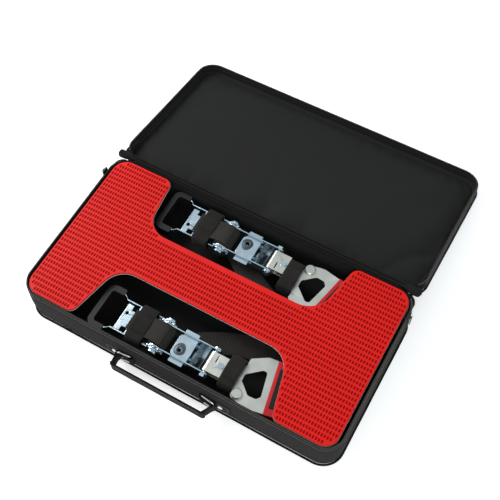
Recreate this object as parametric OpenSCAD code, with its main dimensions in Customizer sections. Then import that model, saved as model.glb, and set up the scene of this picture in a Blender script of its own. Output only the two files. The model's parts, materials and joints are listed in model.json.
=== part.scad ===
// Wheel crampon kit: a zipped fabric case that lies open, a red grip mat, and
// two ratchet crampons that strap a claw across a tyre.
// Millimetres. +X runs along the case, +Y goes to the hinge and lid, +Z is up.
// The origin is the middle of the case's underside.

/* [Case] */
// Length of the case over its rim
case_l = 555; // [545:1:580]
// Depth of the case from front wall to hinge wall
case_d = 287; // [284:1:300]
// Height of the base tray up to the zip
base_h = 78; // [76:1:90]
// Depth of the lid tray
lid_h = 24; // [22:1:34]
// Corner radius of the case seen from above
case_r = 32; // [26:1:45]
// Thickness of the foam-backed outer fabric
shell_t = 2.2; // [1.6:0.1:3]
// Thickness of the sewn lining
liner_t = 1; // [0.6:0.1:1.4]
// Angle between the open lid and the closed lid, less a half turn
lid_droop = 10.7; // [8:0.1:10.8]

/* [Mat] */
// Length of the grip mat
mat_l = 541; // [530:1:543]
// Depth of the grip mat
mat_d = 279; // [270:1:279]
// Thickness of the pale backing
mat_backing_t = 1.5; // [1:0.1:2]
// Thickness of the red grip layer
mat_grip_t = 2.5; // [1.5:0.1:3]

/* [Ratchets] */
// Distance of each ratchet's centre line from the middle of the case
ratchet_y = 99.5; // [98:0.5:100]
// Place of the spools along the case
spool_x = -42; // [-44:0.5:-40]
// Height of the spool axis
spool_z = 56; // [54:0.5:57]
// Width of the webbing
web_w = 38; // [36:0.5:38]
// Radius of the webbing wound on the spool
roll_r = 16.5; // [14:0.5:16.5]
// Thickness of the frame and handle plates
plate_t = 2; // [1.5:0.1:2]
// Distance of the frame bolt from the spool axis
bolt_x = 87; // [86:0.5:88]
// Distance of the grip's outer end from the spool axis
grip_reach = 116; // [112:0.5:117]

/* [Claws] */
// Tilt of each claw against the ratchet's centre line
claw_tilt = 12; // [8:1:14]
// Length of the claw bar across the tread
claw_l = 84; // [70:1:86]
// Width of the claw bar
claw_w = 87; // [80:1:88]
// How far the far claw lies nearer to the middle of the case
far_claw_shift = 14; // [0:1:15]

/* [Carry handle] */
// Distance between the two handle legs
handle_span = 180; // [170:1:190]
// Length of each handle leg
handle_leg = 17; // [14:1:26]
// Width of the handle webbing
handle_w = 22; // [20:1:23]
// Place of the handle's middle along the front wall
handle_x = -7; // [-10:1:10]
// Height of the handle's middle
handle_z = 30; // [24:1:34]

/* [Hidden] */
$fn = 48;
BLACK = [0.16, 0.16, 0.155];
BAND = [0.23, 0.22, 0.21];
ZINC = [0.66, 0.73, 0.78];
NICKEL = [0.78, 0.78, 0.72];
RED = [0.87, 0.16, 0.13];
PALE = [0.8, 0.76, 0.7];

bead_r = 1.5;
pipe_r = 1.8;
bead_gap = 0.3;
zip_base_z = base_h - 5;
hinge_gap = 4;
hinge_y = case_d / 2 + hinge_gap;
hinge_z = base_h + bead_r + bead_gap / 2;
mat_z = base_h - 2;
front_y = -case_d / 2;

frame_y = 20;
gear_y = frame_y + plate_t + 0.3;
gear_t = 2.4;
handle_y = gear_y + gear_t + 0.4;
shaft_r = 8.5;
fit = 0.08;
pawl_travel = 5;
bracket_w = 34;
claw_x = 187.5;
claw_y = 8;
arm_z = 1.2;
arm_t = 3;
arm_pin_x = 148;
arm_pin_y = -25.5;

// ---------- helpers ----------

function unit(v) = v / norm(v);

// One corner of an outline, rounded with radius r as steps + 1 points
function corner(a, b, c, r, steps) =
    let (u = unit(a - b), w = unit(c - b))
    let (half = acos(u * w) / 2, reach = r / tan(half))
    let (centre = b + unit(u + w) * (r / sin(half)))
    let (p = b + u * reach - centre, q = b + w * reach - centre)
    let (from = atan2(p[1], p[0]), turn = atan2(p[0] * q[1] - p[1] * q[0], p * q))
    [for (i = [0:steps]) centre + r * [cos(from + turn * i / steps), sin(from + turn * i / steps)]];

// Outline through pts with corner i rounded to radius radii[i]
function rounded(pts, radii, steps = 8) =
    let (n = len(pts))
    [for (i = [0:n - 1])
        for (p = corner(pts[(i + n - 1) % n], pts[i], pts[(i + 1) % n], radii[i], steps)) p];

module rounded_rect(l, d, r) {
    translate([-l / 2 + r, -d / 2]) square([l - 2 * r, d]);
    translate([-l / 2, -d / 2 + r]) square([l, d - 2 * r]);
    for (sx = [-1, 1], sy = [-1, 1])
        translate([sx * (l / 2 - r), sy * (d / 2 - r)]) circle(r);
}

// Closed tube of radius r that follows a rounded rectangle
module bead_ring(l, d, r, corner_r) {
    for (sy = [-1, 1])
        translate([-l / 2 + corner_r, sy * d / 2, 0]) rotate([0, 90, 0])
            cylinder(h = l - 2 * corner_r, r = r, $fn = 16);
    for (sx = [-1, 1])
        translate([sx * l / 2, d / 2 - corner_r, 0]) rotate([90, 0, 0])
            cylinder(h = d - 2 * corner_r, r = r, $fn = 16);
    for (sx = [-1, 1], sy = [-1, 1])
        translate([sx * (l / 2 - corner_r), sy * (d / 2 - corner_r), 0])
            rotate([0, 0, sx > 0 ? (sy > 0 ? 0 : 270) : (sy > 0 ? 90 : 180)])
                rotate_extrude(angle = 90) translate([corner_r, 0]) circle(r, $fn = 16);
}

// Wall that follows the rounded outline of the case
module rim_wall(inset, t, h) {
    linear_extrude(h) difference() {
        rounded_rect(case_l - 2 * inset, case_d - 2 * inset, case_r - inset);
        rounded_rect(case_l - 2 * (inset + t), case_d - 2 * (inset + t), case_r - inset - t);
    }
}

// Tray open at the top: a floor and a wall
module tray(inset, t, h) {
    linear_extrude(t) rounded_rect(case_l - 2 * inset, case_d - 2 * inset, case_r - inset);
    rim_wall(inset, t, h);
}

// Plate standing on edge: an outline in X and Z, from y to y + t
module edge_plate(y, t) {
    translate([0, y + t, 0]) rotate([90, 0, 0]) linear_extrude(t) children();
}

// Both plates of a mirrored pair
module both_sides() {
    children();
    mirror([0, 1, 0]) children();
}

// Puts a ratchet's own frame, with its origin on the spool axis, into the case
module at_near() {
    translate([spool_x, -ratchet_y, spool_z]) children();
}

module at_far() {
    translate([spool_x, ratchet_y, spool_z]) mirror([0, 1, 0]) children();
}

module at_far_claw() {
    at_far() translate([0, far_claw_shift, 0]) children();
}

// ---------- case ----------

module base_shell() {
    color(BLACK) tray(0, shell_t, zip_base_z);
}

module base_liner() {
    color(BLACK) translate([0, 0, shell_t])
        tray(shell_t, liner_t, zip_base_z - shell_t);
}

module zip_half() {
    rim_wall(0.4, 1.8, base_h - zip_base_z);
    translate([0, 0, base_h - zip_base_z])
        bead_ring(case_l - 2.6, case_d - 2.6, bead_r, case_r - 1.3);
}

module base_zip() {
    color(BLACK) translate([0, 0, zip_base_z]) zip_half();
}

// The piping stands just outside the wall, near the underside
module base_piping() {
    color(BLACK) translate([0, 0, pipe_r + 0.3])
        bead_ring(case_l + 2 * pipe_r, case_d + 2 * pipe_r, pipe_r, case_r + pipe_r);
}

// Cord-filled fabric welt on the hinge axis
module hinge_welt() {
    welt_r = 1.6;
    color(BLACK) translate([-case_l / 2 + case_r, hinge_y, hinge_z]) rotate([0, 90, 0])
        cylinder(h = case_l - 2 * case_r, r = welt_r);
    color(BLACK) translate([-case_l / 2 + case_r, case_d / 2, zip_base_z - 2.6]) {
        cube([case_l - 2 * case_r, hinge_gap + 0.6, 2]);
        translate([0, hinge_gap - 0.6, 1]) cube([case_l - 2 * case_r, 1.2, hinge_z - zip_base_z]);
    }
}

// Folded fabric that closes off the two ends of the zip
module zip_end_tabs() {
    tab_l = 13;
    for (sx = [-1, 1])
        color(BLACK) translate([sx * (case_l / 2 - case_r * 0.29), case_d / 2 - case_r * 0.29, 68])
            rotate([0, 0, sx * -45]) translate([-tab_l / 2, 0.3, -9])
                cube([tab_l, 5, 14]);
}

// ---------- carry handle ----------

ring_w = 26;
ring_h = handle_w + 7;
ring_r = 1.6;
bar_x = ring_w / 2 - ring_r;
bar_z = ring_h / 2 - ring_r;
ring_x = handle_span / 2 - bar_x - 3.6;
ring_y = front_y - 6;
leg_x = ring_x + bar_x;
leg_t = 3.2;
grip_t = 3.4;
grip_r = 1.6;
grip_half = leg_x + leg_t / 2;
grip_y = ring_y - handle_leg - leg_t / 2 - 0.1 - grip_t / 2;
loop_r = 3.5;
rivet_x = ring_x + bar_x + 8.6;

module handle_frame() {
    translate([handle_x, 0, handle_z]) children();
}

// Rectangular wire ring, upright, with its two upright bars at +-bar_x
module wire_ring() {
    for (sx = [-1, 1])
        translate([sx * bar_x, 0, -bar_z]) cylinder(h = 2 * bar_z, r = ring_r);
    for (sz = [-1, 1])
        translate([-bar_x, 0, sz * bar_z]) rotate([0, 90, 0]) cylinder(h = 2 * bar_x, r = ring_r);
    for (sx = [-1, 1], sz = [-1, 1])
        translate([sx * bar_x, 0, sz * bar_z]) sphere(ring_r, $fn = 24);
}

module handle_rings() {
    for (sx = [-1, 1])
        color(NICKEL) handle_frame() translate([sx * ring_x, ring_y, 0]) wire_ring();
}

// Strap sewn to the wall, with a loop round the ring's inner bar
module handle_anchors() {
    for (sx = [-1, 1])
        color(BLACK) handle_frame() mirror([sx < 0 ? 1 : 0, 0, 0])
            translate([ring_x - bar_x, 0, -handle_w / 2]) difference() {
                union() {
                    translate([-4, front_y - 2, 0]) cube([52, 2, handle_w]);
                    translate([0, ring_y, 0]) cylinder(h = handle_w, r = loop_r + 0.6);
                }
                translate([0, ring_y, -1]) cylinder(h = handle_w + 2, r = ring_r + 0.2);
                translate([rivet_x - ring_x + bar_x, 1, handle_w / 2]) rotate([90, 0, 0])
                    cylinder(h = case_d, r = 2.1);
            }
}

module handle_rivets() {
    for (sx = [-1, 1])
        color(NICKEL) handle_frame() translate([sx * rivet_x, front_y, 0]) rotate([90, 0, 0]) {
            cylinder(h = 2, r = 2);
            translate([0, 0, 2]) cylinder(h = 1.4, r = 4.8);
            translate([0, 0, 3.4]) cylinder(h = 0.8, r1 = 4.8, r2 = 3.6);
        }
}

// One leg: a loop round the ring's outer bar and two layers of webbing, with
// a round end that turns on the grip bar
module handle_leg_at(x) {
    color(BLACK) handle_frame() translate([x, ring_y, -handle_w / 2]) difference() {
        union() {
            cylinder(h = handle_w, r = loop_r);
            translate([-leg_t / 2, -handle_leg, 0]) cube([leg_t, handle_leg, handle_w]);
            translate([0, -handle_leg, 0]) cylinder(h = handle_w, r = leg_t / 2);
        }
        translate([0, 0, -1]) cylinder(h = handle_w + 2, r = ring_r + 0.2);
    }
}

module handle_left_leg() {
    handle_leg_at(-leg_x);
}

module handle_right_leg() {
    handle_leg_at(leg_x);
}

module handle_grip_bar() {
    color(BLACK) handle_frame() translate([0, grip_y, -handle_w / 2 - 0.6])
        linear_extrude(handle_w + 1.2)
            polygon(rounded([[-grip_half, -grip_t / 2], [grip_half, -grip_t / 2],
                             [grip_half, grip_t / 2], [-grip_half, grip_t / 2]],
                            [grip_r, grip_r, grip_r, grip_r], 6));
}

// ---------- zip sliders ----------

module zip_slider(side) {
    slider_y = case_d / 2 - case_r - 8;
    color(ZINC) translate([side * (case_l / 2 + 0.5), slider_y, hinge_z]) {
        translate([side > 0 ? 0 : -1.8, -6, -4.5]) cube([1.8, 12, 9]);
        translate([side > 0 ? 1.8 : -3.6, -1.6, -1.6]) cube([1.8, 3.2, 3.2]);
        translate([side > 0 ? 3.6 : -4.8, -3, -20]) cube([1.2, 6, 22]);
    }
}

module left_zip_slider() {
    zip_slider(-1);
}

module right_zip_slider() {
    zip_slider(1);
}

// ---------- lid ----------

// Turns a piece drawn on the closed case back to the open lid's place
module open_lid() {
    translate([0, hinge_y, hinge_z]) rotate([-180 - lid_droop, 0, 0])
        translate([0, -hinge_y, -hinge_z]) children();
}

// Draws a piece of the base upside down, above the zip's middle plane
module as_lid() {
    open_lid() translate([0, 0, 2 * hinge_z]) mirror([0, 0, 1]) children();
}

lid_floor_z = 2 * hinge_z - (hinge_z + lid_h);

module lid_shell() {
    color(BLACK) as_lid() translate([0, 0, lid_floor_z]) tray(0, shell_t, zip_base_z - lid_floor_z);
}

module lid_liner() {
    color(BLACK) as_lid() translate([0, 0, lid_floor_z + shell_t])
        tray(shell_t, liner_t, zip_base_z - lid_floor_z - shell_t);
}

module lid_zip() {
    color(BLACK) as_lid() translate([0, 0, zip_base_z]) zip_half();
}

module lid_piping() {
    color(BLACK) as_lid() translate([0, 0, lid_floor_z + pipe_r + 0.3])
        bead_ring(case_l + 2 * pipe_r, case_d + 2 * pipe_r, pipe_r, case_r + pipe_r);
}

// ---------- mat ----------

// The H outline: a full rectangle with a notch in each long side
mat_outline = rounded(
    [[-mat_l / 2, -mat_d / 2], [-178, -mat_d / 2], [-156, -39], [146, -39], [172, -mat_d / 2],
     [mat_l / 2, -mat_d / 2], [mat_l / 2, mat_d / 2], [170, mat_d / 2], [152, 42], [-157, 42],
     [-167, mat_d / 2], [-mat_l / 2, mat_d / 2]],
    [24, 14, 38, 40, 14, 24, 24, 14, 42, 38, 14, 24]);

module mat_backing() {
    color(PALE) translate([0, 0, mat_z]) linear_extrude(mat_backing_t) polygon(mat_outline);
}

module mat_grip_layer() {
    color(RED) translate([0, 0, mat_z + mat_backing_t]) linear_extrude(mat_grip_t)
        polygon(mat_outline);
}

// ---------- ratchet, drawn about its spool axis ----------

pawl_z = 1;
pawl_t = 2.6;
pawl_x0 = 29.5;
pawl_x1 = 53;
pawl_tab = 29;
spring_x0 = pawl_x1 + 2.4;
spring_x1 = 64;
slot_gap = 0.3;

module frame() {
    color(ZINC) {
        both_sides() edge_plate(frame_y, plate_t) difference() {
            union() {
                circle(13.5);
                translate([0, -9]) square([bolt_x, 18]);
                translate([bolt_x, 0]) circle(9);
            }
            circle(shaft_r + fit);
            translate([bolt_x, 0]) circle(4 + fit);
            translate([pawl_x0 - slot_gap, pawl_z - slot_gap])
                square([pawl_x1 - pawl_x0 + pawl_travel + 2 * slot_gap, pawl_t + 2 * slot_gap]);
        }
        translate([42, -frame_y, -9]) cube([34, 2 * frame_y, plate_t]);
    }
}

module lock_pawl() {
    hole_x = 36.6;
    hole_y = -6.8;
    color(ZINC) translate([0, 0, pawl_z]) difference() {
        union() {
            linear_extrude(pawl_t) polygon(rounded(
                [[25, -15], [25, 15], [31, 19.6], [spring_x0, 19.6], [spring_x0, -19.6], [31, -19.6]],
                [6, 6, 2, 1, 1, 2], 4));
            translate([pawl_x0, -pawl_tab, 0]) cube([pawl_x1 - pawl_x0, 2 * pawl_tab, pawl_t]);
        }
        translate([hole_x, hole_y, -1]) cylinder(h = pawl_t + 2, r = 3.5);
    }
}

module lock_springs() {
    for (sy = [-1, 1])
        color(ZINC) translate([spring_x0, sy * 12, pawl_z + pawl_t / 2]) rotate([0, 90, 0])
            cylinder(h = spring_x1 - spring_x0, r = 4.2, $fn = 24);
}

module spring_retainer() {
    color(NICKEL) {
        translate([spring_x1, -frame_y, -6]) cube([2, 2 * frame_y, 14]);
        translate([spring_x1, -16, 8]) cube([8, 24, 2]);
        translate([spring_x1 + 5, -3, 10]) cylinder(h = 2.6, r = 3.6);
    }
}

module fasteners() {
    plate_out = frame_y + plate_t;
    color(ZINC) translate([bolt_x, 0, 0]) rotate([90, 0, 0]) {
        translate([0, 0, -plate_out]) cylinder(h = 2 * plate_out, r = 4);
        translate([0, 0, plate_out]) cylinder(h = 5, r = 7, $fn = 6);
        translate([0, 0, -plate_out - 3]) cylinder(h = 3, r = 7.5);
        translate([0, 0, -plate_out - 5]) cylinder(h = 2, r1 = 5, r2 = 7.5);
    }
    color(NICKEL) translate([106, 0, -7]) {
        cylinder(h = 14, r = 3);
        translate([0, 0, 14]) cylinder(h = 2, r = 5);
        translate([0, 0, -2]) cylinder(h = 2, r = 5);
    }
}

// Plate folded round the frame bolt, riveted through the arm's tongue
module end_bracket() {
    inner_r = 4.4;
    outer_r = 7;
    color(NICKEL) difference() {
        edge_plate(-bracket_w / 2, bracket_w) difference() {
            union() {
                translate([bolt_x, 0]) circle(outer_r);
                translate([bolt_x, -outer_r]) square([26, 2 * outer_r]);
            }
            translate([bolt_x, 0]) circle(inner_r);
            translate([bolt_x, -inner_r]) square([30, 2 * inner_r]);
        }
        translate([106, 0, -outer_r - 1]) cylinder(h = 2 * outer_r + 2, r = 3 + fit);
        translate([bolt_x + 8, 2, inner_r - 1]) cube([2, 12, 5]);
    }
}

// Hook-and-loop band, a flat-sided ring round a stretch of the assembly
module band_ring(x0, x1, half_y, z0, z1, t) {
    color(BAND) translate([x0, 0, 0]) rotate([90, 0, 90]) linear_extrude(x1 - x0) difference() {
        polygon(rounded([[-half_y, z0], [half_y, z0], [half_y, z1], [-half_y, z1]],
                        [5, 5, 5, 5], 5));
        polygon(rounded([[-half_y + t, z0 + t], [half_y - t, z0 + t],
                         [half_y - t, z1 - t], [-half_y + t, z1 - t]], [3, 3, 3, 3], 5));
    }
}

module end_band() {
    band_ring(114, 138.8, 27, -12, 14, 2.4);
}

module lever_band() {
    band_ring(-48, -20, 31.5, -13.5, 14, 2.2);
}

// Window of the arm plate
arm_window = rounded([[143.8, 8], [165.1, 26.4], [172.2, 26.4], [181.8, -12], [176.5, -18.5],
                      [163.1, -19.4], [144.2, -3]],
                     [3, 5, 4, 4, 4, 5, 3], 5);

// Outer edge of the arm plate: the tongue stays on the ratchet's centre line,
// and the rest lies shift to one side
function arm_outline(shift) = rounded(
    [[100, -14], [113.3, -14], [113.3, shift - 22], [139.3, shift - 22], [139.3, shift - 33],
     [168, shift - 38.5], [196.3, shift - 33.4], [178.3, shift + 50.8], [163, shift + 49],
     [139.3, shift + 34], [139.3, shift + 22], [113.3, shift + 22], [113.3, 14], [100, 14]],
    [2, 1, 1, 1, 6, 20, 0.5, 0.5, 14, 4, 1, 1, 1, 2], 5);

module arm_plate(shift) {
    color(NICKEL) translate([0, 0, arm_z]) difference() {
        linear_extrude(arm_t) polygon(arm_outline(shift));
        translate([0, shift, -1]) linear_extrude(arm_t + 2) polygon(arm_window);
        translate([arm_pin_x, arm_pin_y + shift, -1]) cylinder(h = arm_t + 2, r = 5 + fit);
        translate([106, 0, -1]) cylinder(h = arm_t + 2, r = 3 + fit);
    }
}

// Headed pin through the arm plate, kept by a washer below
module arm_pin() {
    color(NICKEL) translate([arm_pin_x, arm_pin_y, arm_z]) {
        translate([0, 0, -10]) cylinder(h = 10 + arm_t, r = 5);
        translate([0, 0, arm_t]) cylinder(h = 3.4, r = 8.6);
        translate([0, 0, arm_t + 3.4]) cylinder(h = 1, r1 = 8.6, r2 = 7.4);
        translate([0, 0, -3]) cylinder(h = 2.8, r = 8.6);
    }
}

// The claw's own frame: x along the bar from the fold, y along the fold
module claw_frame() {
    translate([claw_x, claw_y, 0]) rotate([0, 0, claw_tilt]) children();
}

pad_w = 9;
pad_l = claw_w - 24;
pad_xs = [6, 30, 54];
flange_h = 14;
bar_t = 4;

// Red steel bar: a plate with turned-down sides, slots for the pads and
// teeth below
module claw_bar() {
    color(RED) claw_frame() difference() {
        union() {
            translate([0.2, -claw_w / 2, arm_z]) cube([claw_l, claw_w, bar_t]);
            for (sy = [-1, 1])
                translate([0.2, sy > 0 ? claw_w / 2 - bar_t : -claw_w / 2, arm_z - flange_h])
                    cube([claw_l, bar_t, flange_h]);
            for (tx = [20, 44, 68])
                translate([tx, -claw_w / 2 + bar_t, arm_z - 8]) cube([3, claw_w - 2 * bar_t, 8]);
        }
        for (px = pad_xs)
            translate([px, -pad_l / 2, arm_z - 1]) cube([pad_w, pad_l, bar_t + 2]);
    }
}

// Black rubber strips pressed into the bar's slots, proud on both faces
module claw_pads() {
    for (px = pad_xs)
        color(BLACK) claw_frame() translate([px + 0.1, -pad_l / 2 + 0.1, arm_z - 2])
            cube([pad_w - 0.2, pad_l - 0.2, bar_t + 3.5]);
}

// Plate turned down at the bar's other end, with a slot for the webbing
module rear_arm() {
    slot_w = web_w + 3;
    color(NICKEL) claw_frame() translate([claw_l + 0.3, 0, 0]) difference() {
        translate([0, -claw_w / 2 + 6, -34]) cube([3, claw_w - 12, 34 + arm_z + bar_t]);
        translate([-1, -slot_w / 2, -14]) cube([5, slot_w, 6]);
        translate([-1, -14, -28]) cube([5, 28, 8]);
    }
}

// Point on the claw's middle line, s from the fold
function claw_point(s, z) = [claw_x + s * cos(claw_tilt), claw_y + s * sin(claw_tilt), z];

// Route of the webbing's middle line from under the roll to the rear arm
strap_t = 1.6;
strap_z0 = -roll_r - 0.3 - strap_t / 2;
strap_route = concat(
    [[4, 0, strap_z0], [18, 1, strap_z0], [36, 12, strap_z0], [58, 28, strap_z0],
     [84, 42, strap_z0], [112, 53, strap_z0], [142, 58, strap_z0 + 1], [172, 53, strap_z0 + 1],
     [200, 40, strap_z0 + 1], [224, 26, -16]],
    [claw_point(58, -14), claw_point(74, -11.6), claw_point(90, -11)]);

// Smooth curve through the route's points, n steps between each pair
function spline(p, i, t) =
    let (n = len(p) - 1)
    let (a = p[max(i - 1, 0)], b = p[i], c = p[i + 1], d = p[min(i + 2, n)])
    0.5 * (2 * b + (c - a) * t + (2 * a - 5 * b + 4 * c - d) * t * t
        + (3 * b - a - 3 * c + d) * t * t * t);

function spline_points(p, n) = concat(
    [for (i = [0:len(p) - 2], k = [0:n - 1]) spline(p, i, k / n)], [p[len(p) - 1]]);

// The strap's end lies shift to one side, and its start doesn't
module strap(shift) {
    end = strap_route[len(strap_route) - 3][0];
    moved = [for (p = strap_route) p + [0, shift * min(1, p[0] / end), 0]];
    route = spline_points(moved, 3);
    last = len(route) - 1;
    rings = [for (i = [0:last])
        let (ahead = route[min(i + 1, last)] - route[max(i - 1, 0)])
        let (side = unit([-ahead[1], ahead[0], 0]) * web_w / 2, up = [0, 0, strap_t / 2])
        [route[i] + side + up, route[i] - side + up, route[i] - side - up, route[i] + side - up]];
    points = [for (r = rings) for (p = r) p];
    faces = [for (i = [0:last - 1], k = [0:3], half = [0, 1])
        let (a = 4 * i + k, b = 4 * i + (k + 1) % 4)
        half == 0 ? [a, a + 4, b + 4] : [a, b + 4, b]];
    color(BLACK) polyhedron(points, concat([[0, 1, 2, 3]],
        [[4 * last + 3, 4 * last + 2, 4 * last + 1, 4 * last]], faces), convexity = 4);
}

// ---------- spool ----------

shaft_end = 31;

// Two half-round shafts with a slot between them for the webbing
module spool_shaft() {
    color(ZINC) rotate([90, 0, 0]) translate([0, 0, -shaft_end]) difference() {
        cylinder(h = 2 * shaft_end, r = shaft_r);
        translate([-shaft_r - 1, -1, 6]) cube([2 * shaft_r + 2, 2, 2 * shaft_end - 12]);
    }
}

module ratchet_gears() {
    teeth = 12;
    gear_r = 15;
    root_r = 12;
    color(ZINC) both_sides() edge_plate(gear_y, gear_t) difference() {
        polygon([for (i = [0:teeth - 1], k = [0:2])
            let (a = (i + [0, 0.55, 0.75][k]) * 360 / teeth, r = [root_r, gear_r, gear_r][k])
            r * [cos(a), sin(a)]]);
        circle(shaft_r + fit);
    }
}

module wound_webbing() {
    color(BLACK) rotate([90, 0, 0]) translate([0, 0, -web_w / 2]) difference() {
        cylinder(h = web_w, r = roll_r);
        translate([0, 0, -1]) cylinder(h = web_w + 2, r = shaft_r + fit);
    }
}

// ---------- lever ----------

lever_r = 12.5;
flare_x = -77;
flare_out = 5.5;
grip_in = 30;

// Side plate seen from above: straight, then flared outwards to the grip
module lever_cheek() {
    y0 = handle_y;
    t = plate_t;
    polygon([[0, y0], [flare_x, y0], [flare_x - 7, y0 + flare_out], [-grip_reach + 12, y0 + flare_out],
             [-grip_reach + 12, y0 + flare_out + t], [flare_x - 8, y0 + flare_out + t],
             [flare_x - 1, y0 + t], [0, y0 + t]]);
}

module lever() {
    color(ZINC) difference() {
        union() {
            both_sides() {
                translate([0, 0, -7]) linear_extrude(14) lever_cheek();
                edge_plate(handle_y, plate_t) circle(lever_r);
            }
            translate([-52, -handle_y, -7]) cube([plate_t, 2 * handle_y, 14]);
        }
        rotate([90, 0, 0]) translate([0, 0, -40]) cylinder(h = 80, r = shaft_r + fit);
        translate([-54, -15, -2.6]) cube([6, 30, 5.2]);
    }
}

// Moulded grip: a U over the lever's flared ends
module lever_grip() {
    half = 39;
    wall = 8;
    gap = 0.15;
    color(BLACK) difference() {
        translate([0, 0, -8]) linear_extrude(16) difference() {
            polygon(rounded([[-grip_reach, -half], [-grip_reach + grip_in, -half],
                             [-grip_reach + grip_in, half], [-grip_reach, half]], [13, 2, 2, 13]));
            polygon(rounded([[-grip_reach + 9, -half + wall + 2], [0, -half + wall + 2],
                             [0, half - wall - 2], [-grip_reach + 9, half - wall - 2]],
                            [5, 1, 1, 5]));
        }
        both_sides() translate([0, 0, -7 - gap]) linear_extrude(14 + 2 * gap) {
            translate([-grip_reach + 12 - gap, handle_y + flare_out - gap])
                square([grip_in, plate_t + 2 * gap]);
        }
    }
}

// Sprung plate that slides along the lever; its two noses drive the gears
module drive_pawl() {
    nose_in = gear_y + 0.1;
    nose_out = gear_y + gear_t - 0.1;
    color(ZINC) translate([0, 0, -2.2]) difference() {
        union() {
            translate([-73, -14.5, 0]) cube([50, 29, 4.4]);
            translate([-74, -23, 0]) cube([10, 46, 4.4]);
            translate([-25, -nose_out, 0]) cube([7, 2 * nose_out, 4.4]);
            both_sides() translate([-18.5, nose_in, 0]) cube([3, nose_out - nose_in, 4.4]);
        }
        translate([-68, 8, -1]) cylinder(h = 7, r = 3);
    }
}

// ---------- drawing ----------

base_shell();
base_liner();
base_zip();
base_piping();
hinge_welt();
zip_end_tabs();
handle_anchors();
handle_rivets();
handle_rings();
handle_left_leg();
handle_grip_bar();
handle_right_leg();
left_zip_slider();
right_zip_slider();
lid_shell();
lid_liner();
lid_zip();
lid_piping();
mat_backing();
mat_grip_layer();

at_near() frame();  // near_frame
at_near() lock_pawl();  // near_lock_pawl
at_near() lock_springs();  // near_lock_springs
at_near() spring_retainer();  // near_spring_retainer
at_near() fasteners();  // near_fasteners
at_near() end_bracket();  // near_end_bracket
at_near() end_band();  // near_end_band
at_near() arm_plate(0);  // near_arm_plate
at_near() arm_pin();  // near_arm_pin
at_near() claw_bar();  // near_claw_bar
at_near() claw_pads();  // near_claw_pads
at_near() rear_arm();  // near_rear_arm
at_near() strap(0);  // near_strap
at_near() spool_shaft();  // near_spool_shaft
at_near() ratchet_gears();  // near_ratchet_gears
at_near() wound_webbing();  // near_wound_webbing
at_near() lever();  // near_lever
at_near() lever_grip();  // near_lever_grip
at_near() drive_pawl();  // near_drive_pawl
at_near() lever_band();  // near_lever_band

at_far() frame();  // far_frame
at_far() lock_pawl();  // far_lock_pawl
at_far() lock_springs();  // far_lock_springs
at_far() spring_retainer();  // far_spring_retainer
at_far() fasteners();  // far_fasteners
at_far() end_bracket();  // far_end_bracket
at_far_claw() end_band();  // far_end_band
at_far() arm_plate(far_claw_shift);  // far_arm_plate
at_far_claw() arm_pin();  // far_arm_pin
at_far_claw() claw_bar();  // far_claw_bar
at_far_claw() claw_pads();  // far_claw_pads
at_far_claw() rear_arm();  // far_rear_arm
at_far() strap(far_claw_shift);  // far_strap
at_far() spool_shaft();  // far_spool_shaft
at_far() ratchet_gears();  // far_ratchet_gears
at_far() wound_webbing();  // far_wound_webbing
at_far() lever();  // far_lever
at_far() lever_grip();  // far_lever_grip
at_far() drive_pawl();  // far_drive_pawl
at_far() lever_band();  // far_lever_band
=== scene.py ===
"""Looks for the wheel crampon kit: an open zipped fabric case that holds a red grip mat and two
ratchet crampons. Lengths in the code are millimetres unless a name ends in _m, and the meshes are
made in metres, in the CAD frame: +X runs along the case, +Y goes to the hinge, +Z is up."""

import json
import math

import bpy
import numpy as np
from mathutils import Matrix, Vector, geometry, noise


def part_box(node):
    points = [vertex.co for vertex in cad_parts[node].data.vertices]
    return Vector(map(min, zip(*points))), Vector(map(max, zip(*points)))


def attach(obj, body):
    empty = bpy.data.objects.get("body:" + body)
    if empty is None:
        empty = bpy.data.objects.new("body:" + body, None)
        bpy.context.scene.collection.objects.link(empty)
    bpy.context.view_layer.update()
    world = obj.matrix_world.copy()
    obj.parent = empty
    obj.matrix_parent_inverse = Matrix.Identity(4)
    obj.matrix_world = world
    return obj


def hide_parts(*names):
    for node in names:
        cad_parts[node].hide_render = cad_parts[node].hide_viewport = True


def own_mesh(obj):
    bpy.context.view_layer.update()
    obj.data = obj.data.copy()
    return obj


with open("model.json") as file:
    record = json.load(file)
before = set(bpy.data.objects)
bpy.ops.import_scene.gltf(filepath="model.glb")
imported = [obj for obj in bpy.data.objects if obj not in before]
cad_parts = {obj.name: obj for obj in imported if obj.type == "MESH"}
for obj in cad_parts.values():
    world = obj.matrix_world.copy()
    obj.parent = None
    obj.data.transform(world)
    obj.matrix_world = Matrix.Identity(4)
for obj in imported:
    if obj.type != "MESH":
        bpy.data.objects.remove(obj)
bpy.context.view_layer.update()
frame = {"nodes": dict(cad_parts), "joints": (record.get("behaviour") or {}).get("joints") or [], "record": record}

MM = 0.001
JOINTS = {joint["name"]: joint for joint in frame["joints"]}
SIDES = ("near", "far")


def node_box(node):
    """Lowest and highest corner of a CAD node, in millimetres."""
    low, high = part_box(node)
    return np.array(low) / MM, np.array(high) / MM


SHELL_LOW, SHELL_HIGH = node_box("base_shell")
CASE_L, CASE_D, WALL_TOP = SHELL_HIGH - SHELL_LOW + [0, 0, SHELL_LOW[2]]
CASE_R = 32.0
HINGE = np.array(JOINTS["lid_hinge"]["pos_m"]) / MM
LID_TURN = math.radians(JOINTS["lid_hinge"]["range_deg"][0])
LID_DEPTH = 24.0

# ---------- camera, lights and floor ----------

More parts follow.
